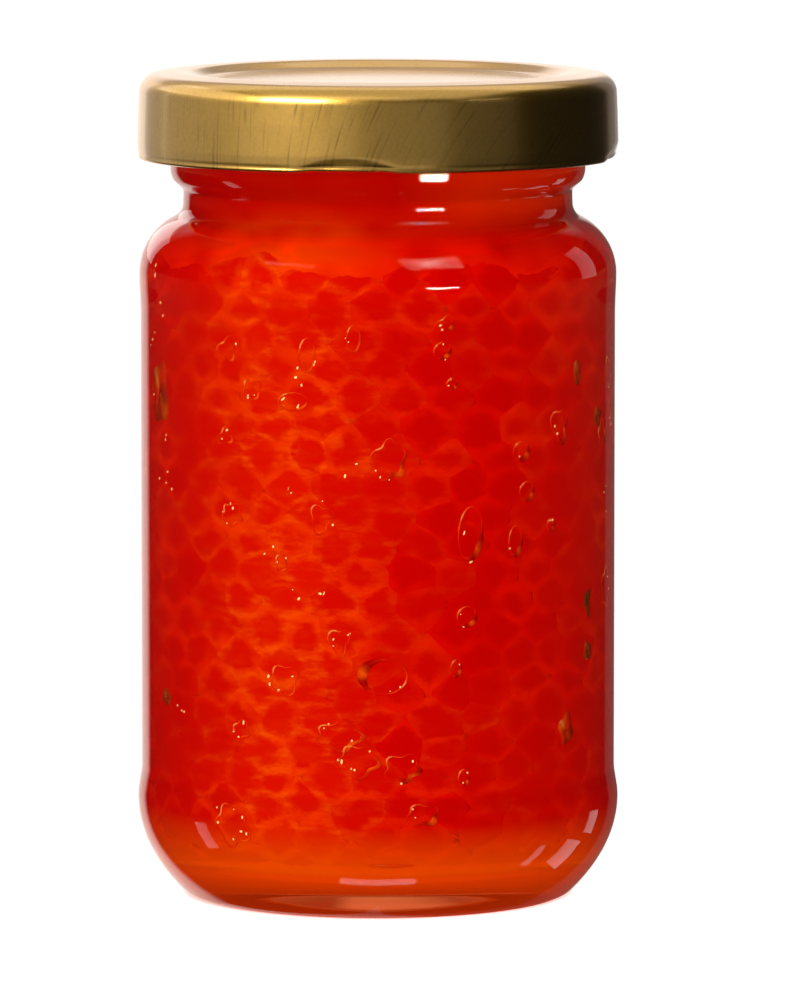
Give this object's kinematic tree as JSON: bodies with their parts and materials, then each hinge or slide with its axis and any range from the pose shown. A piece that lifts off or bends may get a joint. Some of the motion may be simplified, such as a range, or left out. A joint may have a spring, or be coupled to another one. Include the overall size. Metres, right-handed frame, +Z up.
{
  "type": "jar of salmon caviar",
  "caption": "Shut round clear glass jar packed to the lid with orange-red salmon roe, closed by a gold twist-off metal lid with a curled hem and pressed-in lugs.",
  "frame": {"origin": "middle of the ring that the jar stands on, at the height of the table", "axes": "+Z up along the jar's axis; -Y is the side that the picture shows"},
  "size_m": [0.0612, 0.0612, 0.1046],
  "materials": {
    "glass": "clear, smooth, blown and pressed",
    "gold_lacquer": "satin gold lacquer on tinplate, with fine scratches",
    "roe": "wet, translucent orange-red",
    "brine": "clear orange juice between the eggs"
  },
  "bodies": {
    "root": {"jar_glass": "glass", "lid": "gold_lacquer", "roe": "roe"}
  },
  "joints": []
}
